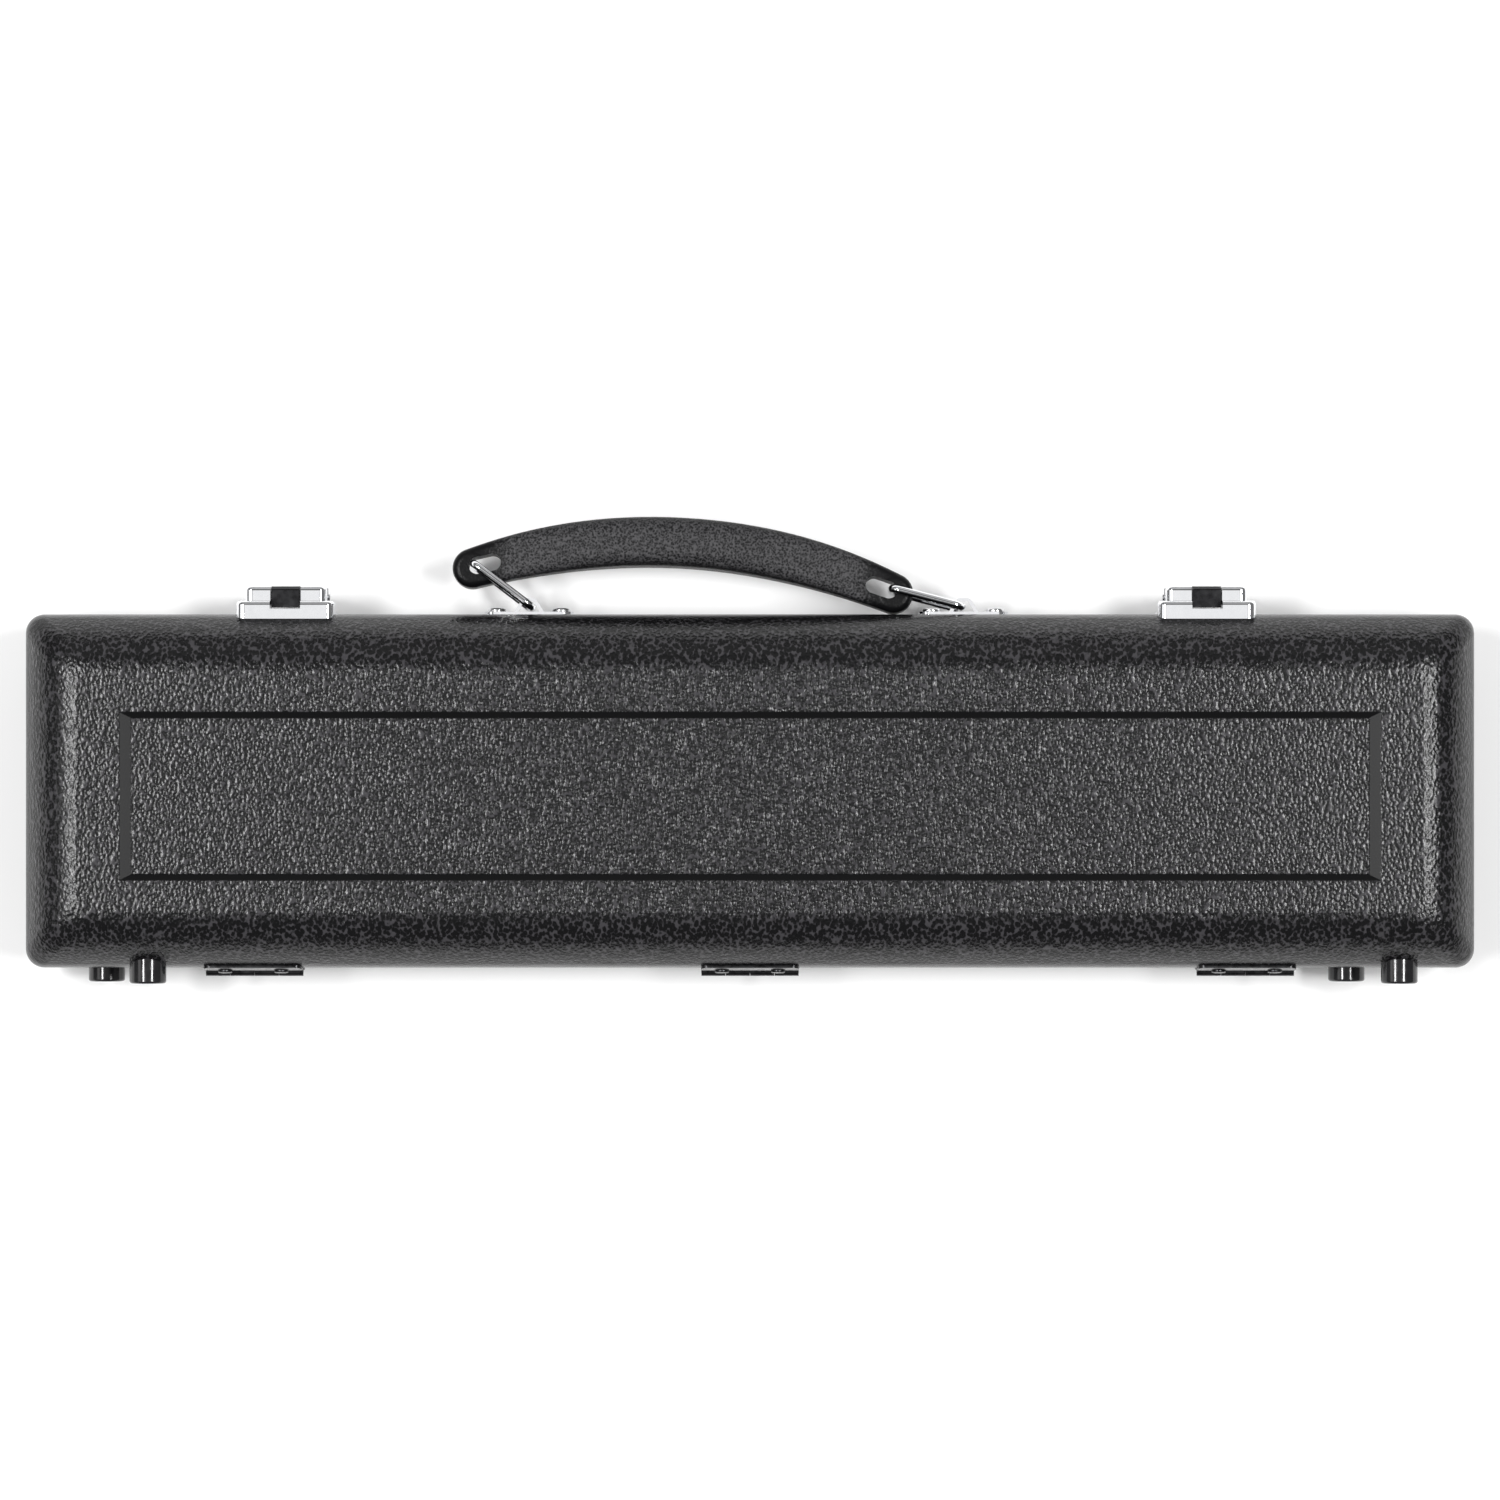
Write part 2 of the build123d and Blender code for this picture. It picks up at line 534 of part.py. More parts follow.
# ---- plush-covered inside ----
TRAY_GAP = 1.5  # room for the rivets' clenched ends
TRAY_TOP = PARTING + 1.6
TRAY_FLOOR = 6.0
CHANNEL_IN, CHANNEL_OUT = 11.5, 38.5  # both channels, from the centre line
COVE = 6.0
END_BLOCK_X = 190.0
BODY_END_X = 181.0
ROD_END_X = 172.0
ROD_HALF, ROD_FLOOR = 5.0, 14.0
DIVIDER = (-48.0, -38.0)  # between the head's channel and the foot's
WELLS = (-120.0, 0.0, 120.0)  # finger wells, where the rails beside the rod stop
WELL_HALF = 15.0


def tray_form():
    """Whole outer form of the insert, taken in from the shell, with a raised top."""
    form = half_solid(WALL + TRAY_GAP, WALL + 0.4, PARTING - 3.6)
    inset = SEAT + TONGUE + 0.5
    top = RectangleRounded(LENGTH - 2 * inset, WIDTH - 2 * inset, 2.0)
    return form + extrude(Pos(0, 0, PARTING - 3.8) * top, TRAY_TOP - (PARTING - 3.8))


def bar(x_range, y_range, z_low, z_high=TRAY_TOP):
    """Box between the given planes, taken in a little so that neighbours only just clear."""
    spans = [(x_range[0], x_range[1]), (y_range[0], y_range[1]), (z_low, z_high)]
    middle = [sum(span) / 2 for span in spans]
    return Pos(*middle) * Box(*[span[1] - span[0] - GAP for span in spans])


def cove(x_range, y, towards):
    """Sloped strip that rounds off a channel's bottom edge."""
    plane = Plane(origin=(sum(x_range) / 2, y + towards * GAP, TRAY_FLOOR + GAP),
                  x_dir=(0, 1, 0), z_dir=(1, 0, 0))
    corner = make_face(Polyline((0, 0), (towards * COVE, 0), (0, COVE), close=True))
    return extrude(plane * corner, (x_range[1] - x_range[0] - GAP) / 2, both=True)


form = tray_form()
FAR = 300.0
upper = (TRAY_FLOOR, TRAY_TOP + 5)
between_ends = (-END_BLOCK_X, END_BLOCK_X)
add("tray_floor", form & bar((-FAR, FAR), (-FAR, FAR), -5, TRAY_FLOOR))
add("tray_walls",
    form & bar(between_ends, (CHANNEL_OUT, FAR), *upper),
    form & bar(between_ends, (-FAR, -CHANNEL_OUT), *upper),
    form & bar((END_BLOCK_X, FAR), (-FAR, FAR), *upper),
    form & bar((-FAR, -END_BLOCK_X), (-FAR, FAR), *upper))

rails = [bar(between_ends, (-CHANNEL_IN, CHANNEL_IN), TRAY_FLOOR, ROD_FLOOR)]
stops = [-END_BLOCK_X]
for well in WELLS:
    stops += [well - WELL_HALF, well + WELL_HALF]
stops.append(END_BLOCK_X)
for start, stop in zip(stops[::2], stops[1::2]):
    rails.append(bar((start, stop), (ROD_HALF, CHANNEL_IN), ROD_FLOOR))
    rails.append(bar((start, stop), (-CHANNEL_IN, -ROD_HALF), ROD_FLOOR))
rails.append(bar((ROD_END_X, END_BLOCK_X), (-ROD_HALF, ROD_HALF), ROD_FLOOR))
rails.append(bar((-END_BLOCK_X, -ROD_END_X), (-ROD_HALF, ROD_HALF), ROD_FLOOR))
add("tray_rails", *rails)
add("tray_blocks",
    bar((BODY_END_X, END_BLOCK_X), (CHANNEL_IN, CHANNEL_OUT), TRAY_FLOOR),
    bar((-END_BLOCK_X, -BODY_END_X), (CHANNEL_IN, CHANNEL_OUT), TRAY_FLOOR),
    bar(DIVIDER, (-CHANNEL_OUT, -CHANNEL_IN), TRAY_FLOOR))
coves = []
for x_range in ((-END_BLOCK_X, DIVIDER[0]), (DIVIDER[1], END_BLOCK_X)):
    coves += [cove(x_range, -CHANNEL_IN, -1), cove(x_range, -CHANNEL_OUT, 1)]
body_range = (-BODY_END_X, BODY_END_X)
coves += [cove(body_range, CHANNEL_IN, 1), cove(body_range, CHANNEL_OUT, -1)]
add("tray_coves", *coves)


LINING = 1.2
PAD_LENGTH, PAD_WIDTH, PAD_THICK = 372.0, 70.0, 8.0


def lid_lining():
    """Thin plush-covered liner against the lid's inner wall."""
    outer = half_solid(WALL + TRAY_GAP, WALL + 0.4, PARTING - 2.2)
    inner = half_solid(WALL + TRAY_GAP + LINING, WALL + 0.4 + LINING, PARTING + 2)
    return turned_over(outer - inner)


def lid_pad():
    top = 2 * PARTING - WALL - 0.4 - LINING - GAP
    slab = Pos(0, 0, top - PAD_THICK / 2) * Box(PAD_LENGTH, PAD_WIDTH, PAD_THICK)
    slab = fillet(slab.edges().filter_by(Axis.Z), 5.0)
    return fillet(slab.faces().sort_by(Axis.Z)[0].edges(), 2.5)


add("lid_lining", lid_lining())
add("lid_pad", lid_pad())

os.makedirs("parts", exist_ok=True)
for name, shape in parts.items():
    export_step(shape, f"parts/{name}.step")
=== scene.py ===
import bpy
import bmesh
import json
import math
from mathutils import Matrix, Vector


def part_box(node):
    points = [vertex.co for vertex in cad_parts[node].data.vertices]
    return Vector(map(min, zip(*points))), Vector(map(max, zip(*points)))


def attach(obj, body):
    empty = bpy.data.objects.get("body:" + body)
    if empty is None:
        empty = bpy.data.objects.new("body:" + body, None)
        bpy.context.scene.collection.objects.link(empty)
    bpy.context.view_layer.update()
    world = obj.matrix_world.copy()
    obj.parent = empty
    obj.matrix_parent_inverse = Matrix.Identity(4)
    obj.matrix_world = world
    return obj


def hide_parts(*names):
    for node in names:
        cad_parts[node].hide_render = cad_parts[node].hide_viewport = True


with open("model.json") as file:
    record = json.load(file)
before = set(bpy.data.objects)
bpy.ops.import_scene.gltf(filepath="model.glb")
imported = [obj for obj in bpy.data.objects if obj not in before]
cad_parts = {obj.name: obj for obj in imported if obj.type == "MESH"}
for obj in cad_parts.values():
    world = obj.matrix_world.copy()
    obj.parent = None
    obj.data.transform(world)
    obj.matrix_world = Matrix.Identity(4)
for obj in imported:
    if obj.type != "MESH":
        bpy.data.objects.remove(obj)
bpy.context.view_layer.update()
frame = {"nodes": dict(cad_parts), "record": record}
nodes = frame["nodes"]
print("frame loaded,", len(nodes), "pieces")

mm = 0.001
lidLow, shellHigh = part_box("lid_shell")
partingHeight = lidLow.z


# small node helpers: every texture is laid out in millimetres of the part's own frame
def newMaterial(name):
    material = bpy.data.materials.new(name)
    material.use_nodes = True
    tree = material.node_tree
    tree.nodes.clear()
    output = tree.nodes.new("ShaderNodeOutputMaterial")
    shader = tree.nodes.new("ShaderNodeBsdfPrincipled")
    tree.links.new(shader.outputs["BSDF"], output.inputs["Surface"])
    return material, tree, shader


def addNode(tree, kind, inputs=None, **settings):
    node = tree.nodes.new(kind)
    for key, value in settings.items():
        setattr(node, key, value)
    for key, value in (inputs or {}).items():
        if isinstance(value, bpy.types.NodeSocket):
            tree.links.new(value, node.inputs[key])
        else:
            node.inputs[key].default_value = value
    return node


def inMillimetres(tree, stretch=(1, 1, 1), turn=(0, 0, 0)):
    place = addNode(tree, "ShaderNodeTexCoord")
    mapping = addNode(tree, "ShaderNodeMapping", {"Vector": place.outputs["Object"]})
    mapping.inputs["Rotation"].default_value = turn
    mapping.inputs["Scale"].default_value = [1000 * s for s in stretch]
    return mapping.outputs["Vector"]


def noise(tree, place, scale, detail=2.0, roughness=0.5):
    return addNode(tree, "ShaderNodeTexNoise", {"Vector": place, "Scale": scale, "Detail": detail,
                                                "Roughness": roughness}).outputs["Fac"]


def mathNode(tree, operation, a, b=0.5, c=0.5):
    node = addNode(tree, "ShaderNodeMath", {0: a, 1: b, 2: c}, operation=operation)
    return node.outputs[0]


def fromTo(tree, value, low, high, outLow=0.0, outHigh=1.0):
    node = addNode(tree, "ShaderNodeMapRange", {"Value": value, "From Min": low, "From Max": high,
                                                "To Min": outLow, "To Max": outHigh})
    return node.outputs["Result"]


def twoTone(tree, factor, dark, light):
    ramp = addNode(tree, "ShaderNodeValToRGB", {"Fac": factor})
    ramp.color_ramp.elements[0].color = (*dark, 1)
    ramp.color_ramp.elements[1].color = (*light, 1)
    return ramp.outputs["Color"]


def bump(tree, height, strength, depth):
    inputs = {"Height": height, "Strength": strength, "Distance": depth}
    return addNode(tree, "ShaderNodeBump", inputs).outputs["Normal"]


# case mouldings: pebbled grain on the faces, smooth on the panel's sloped edges and near the rim
shellLook = {
    # dark is the valleys' tone with painted shade, light is the tone of each crest with a painted
    # glint; the plastic itself is one black
    "dark": (0.003, 0.003, 0.0034),
    "light": (0.040, 0.0385, 0.042),
    "roughness": (0.22, 0.17),  # in the valleys and on the crests
    "crestGlintRange": (1.06, 1.3),  # grain height where the painted glint on a crest starts and where it is full
    "specular": (0.04, 0.33),  # on the rolled walls and on the faces
    "specularHeights": (13.0, 22.0),  # mm from the parting line, where it starts and ends rising
    "grainHeights": (6.0, 19.0),  # the same for the grain
    "grainLeft": 0.12,  # share of the grain that stays beside the parting line
    "grainSize": 0.98,  # mm from pebble to pebble
    "grainStretch": (1.0, 0.72, 0.9),
    "grainSlant": 52,  # degrees
    "pebbleBlend": 0.35,  # how far neighbouring pebbles run together
    "creases": 0.9,  # share of the long creases in the height
    "creasesPerPebble": 0.9,
    "fine": 0.18,  # share of the fine roughness
    "fineScale": 3.2,  # bumps of it per mm
    "grainDepth": 0.00015,
    "grainStrength": 1.0,
    "panel": (365.6, 48.6, 1.4),  # length, width and shift, mm
    "panelSlopes": (3.0, 1.5),  # width of the end and side slopes, mm
    "slopeFade": 0.3,  # mm over which the grain fades at a slope's edge
}


def caseMaterial():
    look = shellLook
    material, tree, shader = newMaterial("blackMouldedCase")
    place = inMillimetres(tree)
    slanted = inMillimetres(tree, look["grainStretch"], (0, 0, math.radians(look["grainSlant"])))
    pebbles = addNode(tree, "ShaderNodeTexVoronoi",
                      {"Vector": slanted, "Scale": 1 / look["grainSize"], "Randomness": 1.0},
                      feature="SMOOTH_F1")
    pebbles.inputs["Smoothness"].default_value = look["pebbleBlend"]
    creases = noise(tree, slanted, look["creasesPerPebble"] / look["grainSize"], 3.0, 0.6)
    fine = noise(tree, place, look["fineScale"], 1.0)
    grain = mathNode(tree, "MULTIPLY_ADD", creases, look["creases"], pebbles.outputs["Distance"])
    grain = mathNode(tree, "MULTIPLY_ADD", fine, look["fine"], grain)
    smooth = smoothZones(tree, place)
    height = mathNode(tree, "MULTIPLY", grain, smooth)
    tree.links.new(bump(tree, height, look["grainStrength"], look["grainDepth"]),
                   shader.inputs["Normal"])
    # painted highlight: each grain crest is painted paler as a glint of the lamps, and the valleys
    # darker as painted shade
    crestGlints = mathNode(tree, "MULTIPLY", fromTo(tree, grain, *look["crestGlintRange"]), smooth)
    tree.links.new(twoTone(tree, crestGlints, look["dark"], look["light"]), shader.inputs["Base Color"])
    tree.links.new(fromTo(tree, crestGlints, 0, 1, *look["roughness"]), shader.inputs["Roughness"])
    level = addNode(tree, "ShaderNodeSeparateXYZ", {"Vector": place}).outputs["Z"]
    fromParting = mathNode(tree, "ABSOLUTE", mathNode(tree, "SUBTRACT", level, partingHeight / mm))
    tree.links.new(fromTo(tree, fromParting, *look["specularHeights"], *look["specular"]),
                   shader.inputs["Specular IOR Level"])
    return material


def smoothZones(tree, place):
    # 0 on the panel's slopes, little beside the parting line, 1 on the grained faces
    soft = shellLook["slopeFade"]
    length, width, shift = shellLook["panel"]
    endSlope, sideSlope = shellLook["panelSlopes"]
    axes = addNode(tree, "ShaderNodeSeparateXYZ", {"Vector": place})
    alongX = mathNode(tree, "ABSOLUTE", axes.outputs["X"])
    alongY = mathNode(tree, "ABSOLUTE", mathNode(tree, "SUBTRACT", axes.outputs["Y"], shift))
    outX = mathNode(tree, "SUBTRACT", alongX, length / 2)
    outY = mathNode(tree, "SUBTRACT", alongY, width / 2)
    outside = fromTo(tree, mathNode(tree, "MAXIMUM", outX, outY), 0.0, soft)
    inside = mathNode(tree, "MINIMUM", fromTo(tree, outX, -endSlope, -endSlope - soft),
                      fromTo(tree, outY, -sideSlope, -sideSlope - soft))
    faces = mathNode(tree, "MAXIMUM", outside, inside)
    level = mathNode(tree, "ABSOLUTE", mathNode(tree, "SUBTRACT", axes.outputs["Z"],
                                                partingHeight / mm))
    rolled = fromTo(tree, level, *shellLook["grainHeights"], shellLook["grainLeft"], 1.0)
    return mathNode(tree, "MULTIPLY", faces, rolled)


# glides: glossy black, faintly clouded
glideLook = {
    "dark": (0.006, 0.006, 0.007),
    "light": (0.014, 0.014, 0.015),
    "roughness": (0.10, 0.2),
    "cloudScale": 0.35,  # clouds per mm
    "waveScale": 2.5,  # ripples per mm
    "waveDepth": 0.00003,
}


def glideMaterial():
    look = glideLook
    material, tree, shader = newMaterial("glossyGlide")
    place = inMillimetres(tree)
    worn = noise(tree, place, look["cloudScale"], 3.0)
    tree.links.new(twoTone(tree, worn, look["dark"], look["light"]), shader.inputs["Base Color"])
    tree.links.new(fromTo(tree, worn, 0.3, 0.7, *look["roughness"]), shader.inputs["Roughness"])
    waves = noise(tree, place, look["waveScale"])
    tree.links.new(bump(tree, waves, 0.05, look["waveDepth"]), shader.inputs["Normal"])
    return material


# metals: tone, roughness and how strongly fine scratches show
metalLook = {
    "chrome": {"dark": (0.70, 0.71, 0.73), "light": (0.88, 0.885, 0.90), "roughness": (0.04, 0.12),
               "scratch": 0.04},
    "nickelRivet": {"dark": (0.50, 0.50, 0.51), "light": (0.74, 0.74, 0.75),
                    "roughness": (0.16, 0.30), "scratch": 0.08},
    "blackHinge": {"dark": (0.018, 0.018, 0.019), "light": (0.05, 0.05, 0.052),
                   "roughness": (0.22, 0.38), "scratch": 0.06},
    "blackSpringSteel": {"dark": (0.012, 0.012, 0.013), "light": (0.036, 0.036, 0.038),
                         "roughness": (0.22, 0.36), "scratch": 0.10},
    "steelPin": {"dark": (0.35, 0.35, 0.36), "light": (0.55, 0.55, 0.56), "roughness": (0.2, 0.34),
                 "scratch": 0.10},
}
scratches = {
    "stretch": 0.15,  # scratches run along x
    "scale": 6.0,  # scratches per mm
    "depth": 0.00003,
    "clouds": 0.4,  # clouds in the tone per mm
}


def metalMaterial(name):
    look = metalLook[name]
    material, tree, shader = newMaterial(name)
    place = inMillimetres(tree)
    drawn = inMillimetres(tree, (scratches["stretch"], 1.0, 1.0))
    cloud = noise(tree, place, scratches["clouds"], 4.0, 0.6)
    lines = noise(tree, drawn, scratches["scale"], 2.0, 0.6)
    shader.inputs["Metallic"].default_value = 1.0
    tree.links.new(twoTone(tree, cloud, look["dark"], look["light"]), shader.inputs["Base Color"])
    tree.links.new(fromTo(tree, cloud, 0.3, 0.7, *look["roughness"]), shader.inputs["Roughness"])
    tree.links.new(bump(tree, lines, look["scratch"], scratches["depth"]), shader.inputs["Normal"])
    return material


# handle: fine stipple, smoother at both ends
handleLook = {
    # dark is the grip's tone with painted shade, light is the tone of each crest with a painted
    # glint
    "dark": (0.004, 0.004, 0.0045),
    "light": (0.062, 0.061, 0.064),
    "roughness": (0.34, 0.44),
    "crestGlintRange": (0.5, 0.95),  # grain height where the painted glint on a crest starts and where it is full
    "facing": (0.35, 0.8),  # how level a face is where the painted glint starts and where it is full
    "stippleSize": 0.6,  # mm
    "lumps": (2.2, 0.6),  # softer lumps between the stipple: how many per mm and their share
    "endStipple": 0.4,  # share of the stipple that stays at the ends
    "stippleStrength": 0.9,
    "stippleDepth": 0.00018,
    "specular": 0.12,
    "smoothEnds": 13.0,  # mm at each end with less stipple
    "fade": 4.0,  # mm each side of where the stipple changes
}


def handleMaterial():
    look = handleLook
    low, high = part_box("handle")
    material, tree, shader = newMaterial("stippledGrip")
    place = inMillimetres(tree)
    axes = addNode(tree, "ShaderNodeSeparateXYZ", {"Vector": place})
    middle = (low.x + high.x) / 2 / mm
    reach = (high.x - low.x) / 2 / mm - look["smoothEnds"]
    away = mathNode(tree, "ABSOLUTE", mathNode(tree, "SUBTRACT", axes.outputs["X"], middle))
    grip = fromTo(tree, away, reach + look["fade"], reach - look["fade"])
    cells = addNode(tree, "ShaderNodeTexVoronoi",
                    {"Vector": place, "Scale": 1 / look["stippleSize"]}, feature="SMOOTH_F1")
    lumpScale, lumpShare = look["lumps"]
    height = mathNode(tree, "MULTIPLY_ADD", noise(tree, place, lumpScale, 2.0), lumpShare,
                      cells.outputs["Distance"])
    rough = mathNode(tree, "MULTIPLY_ADD", grip, 1 - look["endStipple"], look["endStipple"])
    height = mathNode(tree, "MULTIPLY", height, rough)
    # painted glint: each crest is painted paler on the two wide faces only, those facing straight
    # up or down where the lamps' light falls; the sides get none
    normal = addNode(tree, "ShaderNodeTexCoord").outputs["Normal"]
    facing = addNode(tree, "ShaderNodeSeparateXYZ", {"Vector": normal}).outputs["Z"]
    glintFaces = fromTo(tree, mathNode(tree, "ABSOLUTE", facing), *look["facing"])
    crestGlints = mathNode(tree, "MULTIPLY", fromTo(tree, height, *look["crestGlintRange"]), glintFaces)
    tree.links.new(twoTone(tree, crestGlints, look["dark"], look["light"]), shader.inputs["Base Color"])
    tree.links.new(fromTo(tree, grip, 0, 1, *look["roughness"]), shader.inputs["Roughness"])
    shader.inputs["Specular IOR Level"].default_value = look["specular"]
    tree.links.new(bump(tree, height, look["stippleStrength"], look["stippleDepth"]),
                   shader.inputs["Normal"])
    return material


# plush: short black pile, crushed here and there
plushLook = {
    "dark": (0.010, 0.010, 0.013),
    "light": (0.030, 0.030, 0.036),
    "pile": 2.6,  # tufts per mm
    "pileDepth": 0.0005,
    "pileStrength": 0.7,
    "crushScale": 0.07,  # crushed patches per mm
    "toneShares": (0.45, 0.6),  # of the pile and of the crushed patches in the tone
    "roughness": 0.92,
    "sheen": 0.35,
    "sheenRoughness": 0.4,
}


def plushMaterial():
    look = plushLook
    material, tree, shader = newMaterial("blackPlush")
    place = inMillimetres(tree)
    pile = noise(tree, place, look["pile"], 3.0, 0.7)
    crushed = noise(tree, place, look["crushScale"], 3.0, 0.6)
    pileShare, crushShare = look["toneShares"]
    patches = mathNode(tree, "MULTIPLY", crushed, crushShare)
    tone = mathNode(tree, "MULTIPLY_ADD", pile, pileShare, patches)
    tree.links.new(twoTone(tree, tone, look["dark"], look["light"]), shader.inputs["Base Color"])
    shader.inputs["Roughness"].default_value = look["roughness"]
    shader.inputs["Sheen Weight"].default_value = look["sheen"]
    shader.inputs["Sheen Roughness"].default_value = look["sheenRoughness"]
    tree.links.new(bump(tree, pile, look["pileStrength"], look["pileDepth"]),
                   shader.inputs["Normal"])
    return material


caseBlack = caseMaterial()
glideBlack = glideMaterial()
chrome = metalMaterial("chrome")
nickelRivet = metalMaterial("nickelRivet")
blackHinge = metalMaterial("blackHinge")
springSteel = metalMaterial("blackSpringSteel")
steelPin = metalMaterial("steelPin")
gripBlack = handleMaterial()
plush = plushMaterial()
print("materials made")

finishOfSlot = {"shell": caseBlack, "glide": glideBlack, "hinge": blackHinge, "pin": steelPin,
                "chrome": chrome, "rivet": nickelRivet, "claw": springSteel, "grip": gripBlack,
                "plush": plush}


def dressNode(name, material):
    piece = nodes[name]
    if not piece.material_slots:
        piece.data.materials.append(material)
    for spot in piece.material_slots:
        spot.material = material


for entry in frame["record"]["subparts"]:
    dressNode(entry["node"], finishOfSlot[entry["material_slot"]])
print("finishes on the cad pieces")


def meshPiece(name, vertices, faces, material):
    mesh = bpy.data.meshes.new(name)
    mesh.from_pydata(vertices, [], faces)
    mesh.update()
    piece = bpy.data.objects.new(name, mesh)
    bpy.context.scene.collection.objects.link(piece)
    mesh.materials.append(material)
    for polygon in mesh.polygons:
        polygon.use_smooth = True
    return piece


def applyModifiers(piece):
    shapes = bpy.context.evaluated_depsgraph_get()
    shapes.update()
    piece.data = bpy.data.meshes.new_from_object(piece.evaluated_get(shapes))
    piece.modifiers.clear()


# tray insert: one upholstered skin over the tray's floor, walls, rails, blocks and coves
trayCover = {
    "swell": 0.00006,  # closes the gaps between the insert's pieces
    "cell": 0.0011,  # size of the skin's cells
    "softening": 7,  # rounds of smoothing
}
trayNodes = ["tray_floor", "tray_walls", "tray_rails", "tray_blocks", "tray_coves"]


def buildTrayCover():
    joined = bmesh.new()
    for name in trayNodes:
        source = nodes[name]
        part = source.data.copy()
        part.transform(source.matrix_world)
        joined.from_mesh(part)
        bpy.data.meshes.remove(part)
    mesh = bpy.data.meshes.new("trayCover")
    joined.to_mesh(mesh)
    joined.free()
    cover = bpy.data.objects.new("trayCover", mesh)
    bpy.context.scene.collection.objects.link(cover)
    swell = cover.modifiers.new("swell", "DISPLACE")
    swell.strength = trayCover["swell"]
    swell.mid_level = 0.0
    skin = cover.modifiers.new("skin", "REMESH")
    skin.mode = "VOXEL"
    skin.voxel_size = trayCover["cell"]
    skin.use_smooth_shade = True
    soften = cover.modifiers.new("soften", "SMOOTH")
    soften.factor = 0.5
    soften.iterations = trayCover["softening"]
    applyModifiers(cover)
    cover.data.materials.clear()
    cover.data.materials.append(plush)
    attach(cover, "base")
    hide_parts(*trayNodes)


# rings of points round a rounded rectangle, all with the same count so that they loft
def roundedRing(length, width, corner, height, perCorner=8, perSide=24, perEnd=8):
    ring = []
    corner = min(corner, length / 2, width / 2)
    spots = [(1, 1, 0.0), (-1, 1, 90.0), (-1, -1, 180.0), (1, -1, 270.0)]
    for index, (alongX, alongY, start) in enumerate(spots):
        centre = (alongX * (length / 2 - corner), alongY * (width / 2 - corner))
        for step in range(perCorner + 1):
            angle = math.radians(start + 90.0 * step / perCorner)
            ring.append((centre[0] + corner * math.cos(angle), centre[1] + corner * math.sin(angle),
                         height))
        nextX, nextY, _ = spots[(index + 1) % 4]
        first = ring[-1]
        turned = math.radians(spots[(index + 1) % 4][2])
        last = (nextX * (length / 2 - corner) + corner * math.cos(turned),
                nextY * (width / 2 - corner) + corner * math.sin(turned), height)
        count = perSide if index % 2 == 0 else perEnd
        for step in range(1, count):
            share = step / count
            ring.append((first[0] + (last[0] - first[0]) * share,
                         first[1] + (last[1] - first[1]) * share, height))
    return ring


def loft(rings):
    # vertices and faces of a skin through the rings, capped at both ends
    count = len(rings[0])
    vertices = [point for ring in rings for point in ring]
    faces = []
    for low in range(len(rings) - 1):
        for spot in range(count):
            after = (spot + 1) % count
            faces.append((low * count + spot, low * count + after,
                          (low + 1) * count + after, (low + 1) * count + spot))
    faces.append(tuple(reversed(range(count))))
    faces.append(tuple(range((len(rings) - 1) * count, len(rings) * count)))
    return vertices, faces


# lid lining: a dished sheet of plush that follows the lid's wall, with a rolled lower edge
lidLining = {
    "inset": 0.00435,  # from the lid's outer form
    "thickness": 0.00112,
    "corner": 0.0055,
    "steps": 14,
    "wallRoll": 0.017,  # how far the lid's wall comes in
    "straight": 0.0035,  # straight part of the wall above the parting plane
    "lip": 0.0005,  # height of the rolled lower edge
    "cornerLoss": 0.6,  # a corner's radius shrinks by this share of the inset
    "wallShare": 0.998,  # share of the roll that the wall's curve takes, a hair less than all
    "topGap": 0.00003,  # kept free below the highest level of the plain lining
    "edgeGap": 0.0001,  # kept free above its lowest level
}


def buildLidLining():
    look = lidLining
    low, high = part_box("lid_lining")
    length = shellHigh.x * 2
    width = shellHigh.y * 2
    start = partingHeight + look["straight"]

    def wallRing(inset, share, top):
        turn = math.radians(90 * share)
        taken = look["wallRoll"] - (look["wallRoll"] - inset) * math.cos(turn) * look["wallShare"]
        rise = start + (top - start) * math.sin(turn)
        corner = look["corner"] - inset * look["cornerLoss"]
        return roundedRing(length - 2 * taken, width - 2 * taken, corner, rise)

    def edgeRing(inset, height):
        corner = look["corner"] - inset * look["cornerLoss"]
        return roundedRing(length - 2 * inset, width - 2 * inset, corner, height)

    shares = [step / look["steps"] for step in range(look["steps"] + 1)]
    outer, inner = look["inset"], look["inset"] + look["thickness"]
    top = high.z - look["topGap"]
    rings = [wallRing(inner, share, top - look["thickness"]) for share in reversed(shares)]
    rings.append(edgeRing(inner, low.z + look["lip"]))
    rings.append(edgeRing((outer + inner) / 2, low.z + look["edgeGap"]))
    rings.append(edgeRing(outer, low.z + look["lip"]))
    rings += [wallRing(outer, share, top) for share in shares]
    vertices, faces = loft(rings)
    lining = meshPiece("lidLining", vertices, faces, plush)
    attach(lining, "lid")
    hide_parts("lid_lining")


# lid pad: a long foam cushion under plush, crowned towards the flute and rolled over at its edges
lidPad = {
    "crown": 0.0022,  # how much the middle stands out past the shoulder
    "edge": 0.0052,  # radius of the rolled edge
    "corner": 0.011,
    "pull": 0.22,  # how far the side wall is drawn in at its back, as a share of the edge
    "wallSteps": 3,
    "edgeSteps": 8,
    "rings": 9,
    "points": (8, 110, 22),  # in each corner, along each side and along each end
    "fill": 0.75,
    "ripple": 0.00022,  # small unevenness of the foam
    "waves": (61, 83, 17, 139, 47),  # how closely the unevenness comes, radians per metre
    "joinDistance": 0.00004,
}


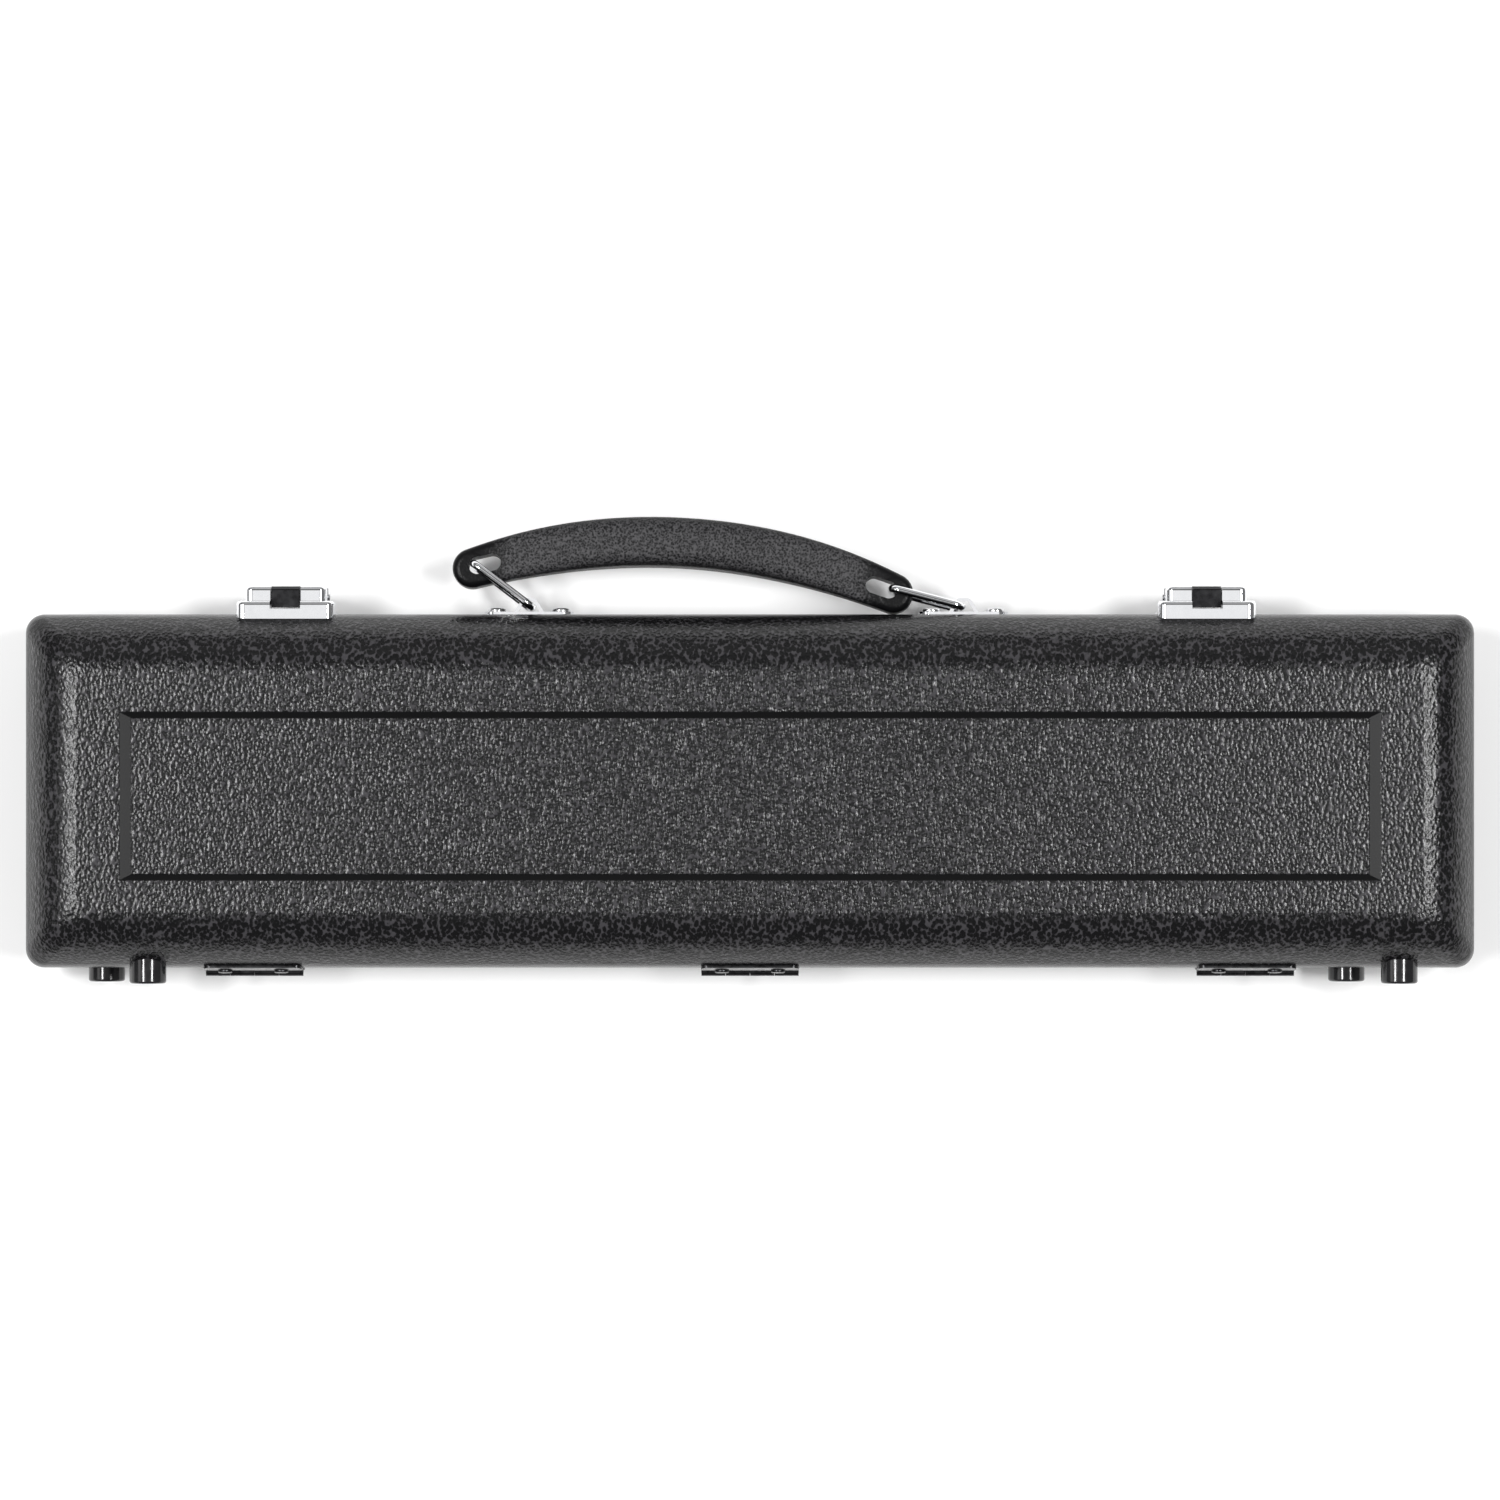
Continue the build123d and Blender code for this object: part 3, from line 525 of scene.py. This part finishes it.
def buildLidPad():
    look = lidPad
    low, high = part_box("lid_pad")
    length, width = high.x - low.x, high.y - low.y
    thick = high.z - low.z
    rings = []
    shoulder = thick - look["crown"]
    for step in range(look["wallSteps"] + 1):
        share = step / look["wallSteps"]
        taken = look["edge"] * look["pull"] * (1 - math.sin(math.radians(90 * share)))
        rings.append((taken, high.z - share * (shoulder - look["edge"])))
    for step in range(1, look["edgeSteps"] + 1):
        turn = math.radians(90 * step / look["edgeSteps"])
        taken = look["edge"] * (1 - math.cos(turn))
        rings.append((taken, high.z - (shoulder - look["edge"]) - look["edge"] * math.sin(turn)))
    reach = width / 2 - look["edge"]
    for step in range(1, look["rings"] + 1):
        share = step / look["rings"]
        rise = look["crown"] * math.sin(math.radians(90 * share))
        rings.append((look["edge"] + reach * share, high.z - shoulder - rise))
    outlines = []
    for taken, height in rings:
        corner = min(look["corner"], width / 2 - taken)
        outlines.append(roundedRing(length - 2 * taken, width - 2 * taken, corner, height,
                                    *look["points"]))
    vertices, faces = loft(outlines)
    soft = []
    first, second, slant, third, cross = look["waves"]
    for x, y, z in vertices:
        depth = (high.z - z) / thick
        wave = math.sin(x * first + 1.3) * math.sin(y * second + x * slant)
        wave += 0.6 * math.sin(x * third + y * cross)
        soft.append((x, y, min(high.z, z + look["ripple"] * depth * (1 + wave))))
    # the last outline has closed to a line, so its cap goes and its two sides are joined
    pad = meshPiece("lidPad", soft, [tuple(reversed(face)) for face in faces[:-1]], plush)
    shape = bmesh.new()
    shape.from_mesh(pad.data)
    bmesh.ops.remove_doubles(shape, verts=shape.verts, dist=look["joinDistance"])
    shape.to_mesh(pad.data)
    shape.free()
    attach(pad, "lid")
    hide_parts("lid_pad")


buildTrayCover()
print("tray insert covered")
buildLidLining()
buildLidPad()
print("lid lining and pad made")


# studio: pale floor, a dim panel over the front, one overhead, a bright strip past each end
# and a dim sheet low past the left end
studio = {
    "floorTone": (0.95, 0.95, 0.95),
    "worldTone": 0.2,
    "cameraHeight": 2.2,  # above the parting line
    "frameWidth": 0.4401,  # metres seen across at the height of the parting line
    "frontOffset": 0.0120,  # the camera stands this far towards the front
}


# each lamp: where it is, what it faces, its size and how bright it looks
lamps = {
    "frontPanel": ((0, -2.3, 1.5), (0, 0, 0), (3.2, 1.5), 0.4),
    "topPanel": ((0, -0.12, 3.0), (0, 0, 0), (1.5, 0.36), 0.85),
    "leftStrip": ((1.3, -0.1, 2.6), (0, 0, 0), (1.3, 0.3), 50.0),
    "rightStrip": ((-1.3, -0.1, 2.6), (0, 0, 0), (1.3, 0.3), 50.0),
    "leftSheet": ((2.4, 0, 1.9), (0, 0, 0), (1.6, 0.9), 1.6),
}


def areaLight(name, place, aim, size, glow):
    data = bpy.data.lights.new(name, "AREA")
    data.shape = "RECTANGLE"
    data.size, data.size_y = size
    data.energy = glow * size[0] * size[1] * math.pi  # so that glow is the brightness seen
    lamp = bpy.data.objects.new(name, data)
    bpy.context.scene.collection.objects.link(lamp)
    lamp.location = place
    lamp.rotation_euler = (Vector(aim) - Vector(place)).to_track_quat("-Z", "Y").to_euler()


def buildStudio():
    bpy.ops.mesh.primitive_plane_add(size=6, location=(0, 0, 0))
    floor = bpy.context.object
    floor.name = "studioFloor"
    material, _, shader = newMaterial("paleFloor")
    shader.inputs["Base Color"].default_value = (*studio["floorTone"], 1)
    shader.inputs["Roughness"].default_value = 0.9
    floor.data.materials.append(material)
    world = bpy.data.worlds.new("softRoom")
    bpy.context.scene.world = world
    world.use_nodes = True
    background = world.node_tree.nodes["Background"]
    background.inputs["Color"].default_value = (1, 1, 1, 1)
    background.inputs["Strength"].default_value = studio["worldTone"]
    for name, (place, aim, size, glow) in lamps.items():
        areaLight(name, place, aim, size, glow)


def buildCamera():
    data = bpy.data.cameras.new("copyStand")
    data.sensor_width = 36.0
    data.lens = 36.0 * studio["cameraHeight"] / studio["frameWidth"]
    data.clip_end = 20
    camera = bpy.data.objects.new("copyStand", data)
    bpy.context.scene.collection.objects.link(camera)
    camera.location = (0, -studio["frontOffset"], partingHeight + studio["cameraHeight"])
    camera.rotation_euler = (0, 0, math.pi)  # the handle side of the case is at the top
    bpy.context.scene.camera = camera


buildStudio()
buildCamera()
bpy.context.scene.view_settings.view_transform = "Standard"
print("studio and camera set")
